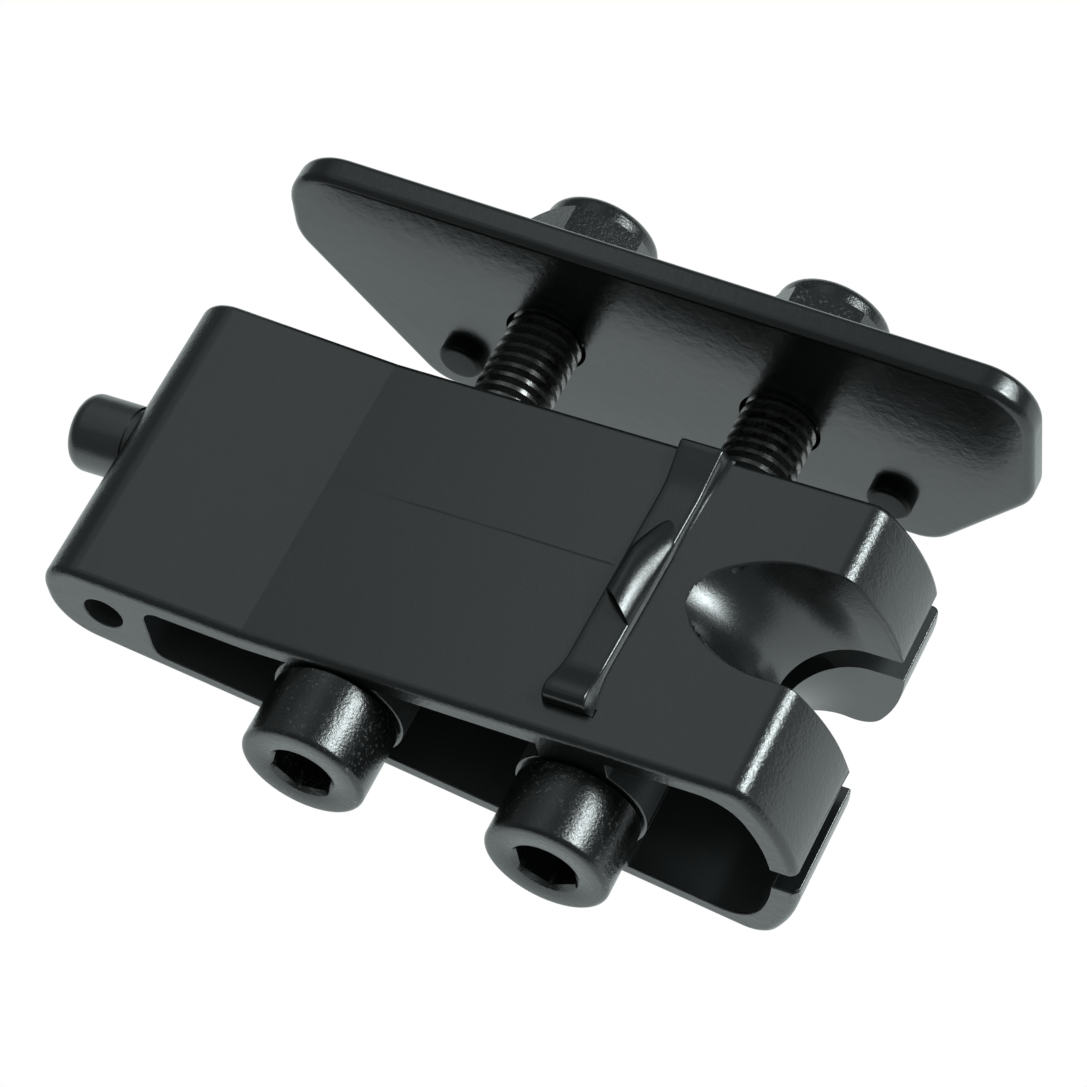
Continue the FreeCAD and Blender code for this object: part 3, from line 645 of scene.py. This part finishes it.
boltLook = {
    "steps": 96,
    "threadRadius": 4.0 * mm,
    "pitch": 1.25 * mm,
    "threadDepth": 0.74 * mm,
    "crest": 0.46 * mm,
    "root": 1.10 * mm,
    "threadLength": 28.0 * mm,
    "length": 60.0 * mm,
    "headRadius": 6.5 * mm,
    "headHeight": 8.0 * mm,
    "rimRound": 0.65 * mm,
    "footChamfer": 0.25 * mm,
    "socketWidth": 6.0 * mm,
    "socketDepth": 4.2 * mm,
    "socketCone": 1.3 * mm,
    "socketChamfer": 0.45 * mm,
    "socketRim": (0.12 * mm, 0.20 * mm),
    "socketFloor": (0.35 * mm, 0.25 * mm),
    "neckRound": 0.3 * mm,
    "runOut": (0.6 * mm, 0.2 * mm),
    "threadStart": 0.3 * mm,
    "point": 0.5 * mm,
    "hair": 0.05 * mm,
    "shadeAngle": 35.0,
    "bearingY": -35.1 * mm,
}


def threadTree():
    # a swept ridge that climbs round Z: one thread, realised with its material
    tree = bpy.data.node_groups.new("screw_thread", "GeometryNodeTree")
    face = tree.interface
    for name in ("Turns", "Pitch", "Radius", "Depth", "Crest", "Root"):
        face.new_socket(name, in_out="INPUT", socket_type="NodeSocketFloat")
    face.new_socket("Material", in_out="INPUT", socket_type="NodeSocketMaterial")
    face.new_socket("Geometry", in_out="OUTPUT", socket_type="NodeSocketGeometry")
    inside = tree.nodes.new("NodeGroupInput")
    result = tree.nodes.new("NodeGroupOutput")

    def value(name):
        return Term(tree, inside.outputs[name])

    depth = value("Depth")
    middle = value("Radius") - depth * 0.5
    start = Term(tree)
    helix = start.node("GeometryNodeCurveSpiral", {
        "Resolution": 72, "Rotations": value("Turns"), "Start Radius": middle, "End Radius": middle,
        "Height": value("Turns") * value("Pitch")})
    helix = start.node("GeometryNodeSetCurveNormal", {"Curve": helix}, mode="Z_UP")
    ridge = start.node("GeometryNodeCurvePrimitiveQuadrilateral", {
        "Height": depth, "Bottom Width": value("Root"), "Top Width": value("Crest"), "Offset": 0.0},
        mode="TRAPEZOID")
    ridge = start.node("GeometryNodeTransform", {
        "Geometry": ridge, "Rotation": (0.0, 0.0, math.radians(90.0))})
    swept = start.node("GeometryNodeCurveToMesh", {"Curve": helix, "Profile Curve": ridge, "Fill Caps": True})
    real = start.node("GeometryNodeRealizeInstances", {0: swept})
    painted = start.node("GeometryNodeSetMaterial", {"Geometry": real, "Material": value("Material")})
    tree.links.new(painted.socket, result.inputs["Geometry"])
    return tree


threadNodes = threadTree()


def sweptThread(name, look, material):
    holder = bpy.data.objects.new(f"{name}_holder", bpy.data.meshes.new(f"{name}_holder"))
    bpy.context.scene.collection.objects.link(holder)
    modifier = holder.modifiers.new("thread", "NODES")
    modifier.node_group = threadNodes
    settings = {
        "Turns": (look["threadLength"] - look["pitch"]) / look["pitch"],
        "Pitch": look["pitch"],
        "Radius": look["threadRadius"],
        "Depth": look["threadDepth"],
        "Crest": look["crest"],
        "Root": look["root"],
        "Material": material,
    }
    for item in threadNodes.interface.items_tree:
        if item.name in settings:
            modifier[item.identifier] = settings[item.name]
    view = bpy.context.evaluated_depsgraph_get()
    mesh = bpy.data.meshes.new_from_object(holder.evaluated_get(view))
    bpy.data.objects.remove(holder)
    return mesh


def hexReach(width, angle, turn):
    # distance from the axis to the side of a hexagon at one angle
    step = math.radians(60.0)
    local = (angle - turn) % step - step / 2
    return width / 2 / math.cos(local)


def screwMesh(name, look, turn, material, threadMaterial):
    # rings from the socket's bottom, over the head, down to the point; Z is the axis, head end at 0
    steps = look["steps"]
    turn = math.radians(turn)
    offset = turn % (2 * math.pi / steps)
    head = look["headHeight"]
    core = look["threadRadius"] - look["threadDepth"]
    shankEnd = head + look["length"] - look["threadLength"]
    total = head + look["length"]
    rings = []

    def socketRing(depth):
        rings.append((lambda angle: hexReach(look["socketWidth"], angle, turn), depth))

    def roundRing(radius, depth):
        rings.append((lambda angle: radius, depth))

    inset, edge = look["socketFloor"]
    roundRing(look["hair"], look["socketDepth"] + look["socketCone"])
    roundRing(look["socketWidth"] / 2 - inset, look["socketDepth"] + 0.02 * mm)
    roundRing(look["socketWidth"] / 2 - edge, look["socketDepth"])
    socketRing(look["socketDepth"])
    socketRing(look["socketChamfer"])
    socketCorner = look["socketWidth"] / math.sqrt(3.0)
    roundRing(socketCorner + look["socketRim"][0], look["hair"])
    roundRing(socketCorner + look["socketRim"][1], 0.0)
    rim = look["rimRound"]
    for step in range(9):
        angle = math.radians(90.0 * step / 8)
        roundRing(look["headRadius"] - rim + rim * math.sin(angle), rim - rim * math.cos(angle))
    roundRing(look["headRadius"], head - look["footChamfer"])
    roundRing(look["headRadius"] - look["footChamfer"], head)
    roundRing(look["threadRadius"] + look["neckRound"], head)
    roundRing(look["threadRadius"], head + look["neckRound"])
    roundRing(look["threadRadius"], shankEnd - look["runOut"][0])
    roundRing(core, shankEnd + look["runOut"][1])
    roundRing(core, total - look["point"])
    roundRing(core - look["point"], total)
    work = bmesh.new()
    loops = []
    for reach, depth in rings:
        loop = []
        for index in range(steps):
            angle = offset + 2 * math.pi * index / steps
            radius = reach(angle)
            loop.append(work.verts.new((radius * math.cos(angle), radius * math.sin(angle), depth)))
        loops.append(loop)
    for first, second in zip(loops, loops[1:]):
        for index in range(steps):
            following = (index + 1) % steps
            work.faces.new((first[index], first[following], second[following], second[index]))
    work.faces.new(list(reversed(loops[0])))
    work.faces.new(loops[-1])
    bmesh.ops.recalc_face_normals(work, faces=work.faces)
    plainFaces = len(work.faces)
    thread = sweptThread(name, look, threadMaterial)
    thread.transform(Matrix.Translation((0.0, 0.0, shankEnd + look["threadStart"])))
    work.from_mesh(thread)
    mesh = bpy.data.meshes.new(name)
    work.to_mesh(mesh)
    work.free()
    bpy.data.meshes.remove(thread)
    mesh.materials.clear()
    mesh.materials.append(material)
    mesh.materials.append(threadMaterial)
    for face in mesh.polygons:
        face.material_index = 0 if face.index < plainFaces else 1
    return mesh


for side, screw in screws.items():
    mesh = screwMesh(f"clamp_bolt_{side}_turned", boltLook, screw["socketTurn"],
                     materials["steel"], materials["thread"])
    place = screwCentre(screw) + Vector((0.0, boltLook["bearingY"] - boltLook["headHeight"], 0.0))
    # the screw's own axis Z turns to +Y, its Y to +Z, and X stays
    turned = Matrix(((1, 0, 0, 0), (0, 0, 1, 0), (0, 1, 0, 0), (0, 0, 0, 1)))
    mesh.transform(Matrix.Translation(place) @ turned)
    mesh.flip_normals()
    smoothByAngle(mesh, boltLook["shadeAngle"])
    newPiece(f"clamp_bolt_{side}_turned", mesh, f"bolt_{side}", f"clamp_bolt_{side}")
print("screws made")


# Studio: pale floor that the camera sees as plain white, soft surroundings and four softboxes.
photoCamera = {
    "location": (0.16427, -0.24091, 0.38268),
    "right": (0.89617495, 0.4224441, -0.1363015),
    "up": (-0.27282613, 0.76640138, 0.58170607),
    "back": (0.35009049, -0.48410816, 0.80204434),
    "lens": 161.38,
    "sensor": 36.0,
    "clip": (0.01, 20.0),
}
studio = {
    "tint": (0.90, 1.0, 1.0),
    "world": 0.16,
    "floorDrop": 0.004,
    "floorReach": 3.0,
    "floorColour": 0.86,
    "floorFade": 0.34,
    "floorLeast": 0.05,
    "softboxes": {
        "key": {"direction": (0.67, 0.37, 0.62), "distance": 0.6, "size": (0.29, 0.36), "level": 5.9},
        # a hot middle in front of the key, for the bright spots on the rounded edges
        "core": {"direction": (0.665, 0.365, 0.64), "distance": 0.59, "size": (0.13, 0.17), "level": 15.0},
        "overhead": {"direction": (-0.25, 0.19, 0.67), "distance": 0.73, "size": (0.56, 1.08), "level": 0.17},
        # seen in the nose's slightly raised part of the top, which sets it off at the crease
        "panel": {"direction": (-0.295, 0.466, 0.835), "distance": 0.66, "size": (0.09, 0.36), "level": 0.35},
    },
}


def stageMaterial():
    # plain white to the camera; reflections see it fade with the distance, and it keeps the shadow
    material = bpy.data.materials.new("stage_white")
    material.use_nodes = True
    tree = material.node_tree
    tree.nodes.clear()
    start = Term(tree)
    path = start.node("ShaderNodeLightPath", output="Is Camera Ray")
    mirrored = Term(tree, path.socket.node.outputs["Is Glossy Ray"])
    through = Term(tree, path.socket.node.outputs["Is Transmission Ray"])
    place = start.node("ShaderNodeTexCoord", output="Object")
    distance = start.node("ShaderNodeVectorMath", {0: place}, output="Value", operation="LENGTH")
    far = distance / studio["floorFade"]
    shine = (1.0 / (far * far + 1.0)).maths("MAXIMUM", studio["floorLeast"])
    matte = start.node("ShaderNodeBsdfDiffuse", {"Color": (*(studio["floorColour"],) * 3, 1.0)})
    shade = mixColour(start, shine, (0.0, 0.0, 0.0), studio["tint"])
    hue = mixColour(start, path, shade, (1.0, 1.0, 1.0))
    plain = start.node("ShaderNodeEmission", {"Color": hue, "Strength": 1.0})
    shown = path.maths("MAXIMUM", mirrored).maths("MAXIMUM", through)
    mixed = start.node("ShaderNodeMixShader", {0: shown, 1: matte, 2: plain})
    out = tree.nodes.new("ShaderNodeOutputMaterial")
    tree.links.new(mixed.socket, out.inputs["Surface"])
    return material


low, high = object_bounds()
floorZ = low[2] - studio["floorDrop"]
floorMesh = bpy.data.meshes.new("floor")
reach = studio["floorReach"]
corners = [(-reach, -reach, floorZ), (reach, -reach, floorZ), (reach, reach, floorZ), (-reach, reach, floorZ)]
floorMesh.from_pydata(corners, [], [(0, 1, 2, 3)])
floorMesh.materials.append(stageMaterial())
floor = bpy.data.objects.new("floor", floorMesh)
bpy.context.scene.collection.objects.link(floor)
floor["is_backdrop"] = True

world = bpy.data.worlds.new("studio")
bpy.context.scene.world = world
world.use_nodes = True
tree = world.node_tree
tree.nodes.clear()
start = Term(tree)
path = start.node("ShaderNodeLightPath", output="Is Camera Ray")
soft = start.node("ShaderNodeBackground", {"Color": (*studio["tint"], 1.0), "Strength": studio["world"]})
plain = start.node("ShaderNodeBackground", {"Color": (1.0, 1.0, 1.0, 1.0), "Strength": 1.0})
through = Term(tree, path.socket.node.outputs["Is Transmission Ray"])
mixed = start.node("ShaderNodeMixShader", {0: path.maths("MAXIMUM", through), 1: soft, 2: plain})
out = tree.nodes.new("ShaderNodeOutputWorld")
tree.links.new(mixed.socket, out.inputs["Surface"])


def softbox(name, box):
    # one flat lamp of an even brightness, aimed at the origin
    light = bpy.data.lights.new(name, "AREA")
    light.shape = "RECTANGLE"
    light.size, light.size_y = box["size"]
    light.color = studio["tint"]
    light.energy = box["level"] * math.pi * box["size"][0] * box["size"][1]
    holder = bpy.data.objects.new(name, light)
    bpy.context.scene.collection.objects.link(holder)
    aim = Vector(box["direction"]).normalized()
    across = (Vector((1.0, 0.0, 0.0)) - aim * aim.x).normalized()
    turn = Matrix((across, aim.cross(across), aim)).transposed().to_4x4()
    holder.matrix_world = Matrix.Translation(aim * box["distance"]) @ turn


for boxName, box in studio["softboxes"].items():
    softbox(boxName, box)

camera = bpy.data.cameras.new("photo_camera")
camera.lens = photoCamera["lens"]
camera.sensor_width = photoCamera["sensor"]
camera.clip_start, camera.clip_end = photoCamera["clip"]
holder = bpy.data.objects.new("photo_camera", camera)
bpy.context.scene.collection.objects.link(holder)
turn = Matrix([photoCamera[key] for key in ("right", "up", "back")]).transposed().to_4x4()
holder.matrix_world = Matrix.Translation(photoCamera["location"]) @ turn
bpy.context.scene.camera = holder
bpy.context.scene.view_settings.view_transform = "Standard"
print("studio set")

low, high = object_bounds()
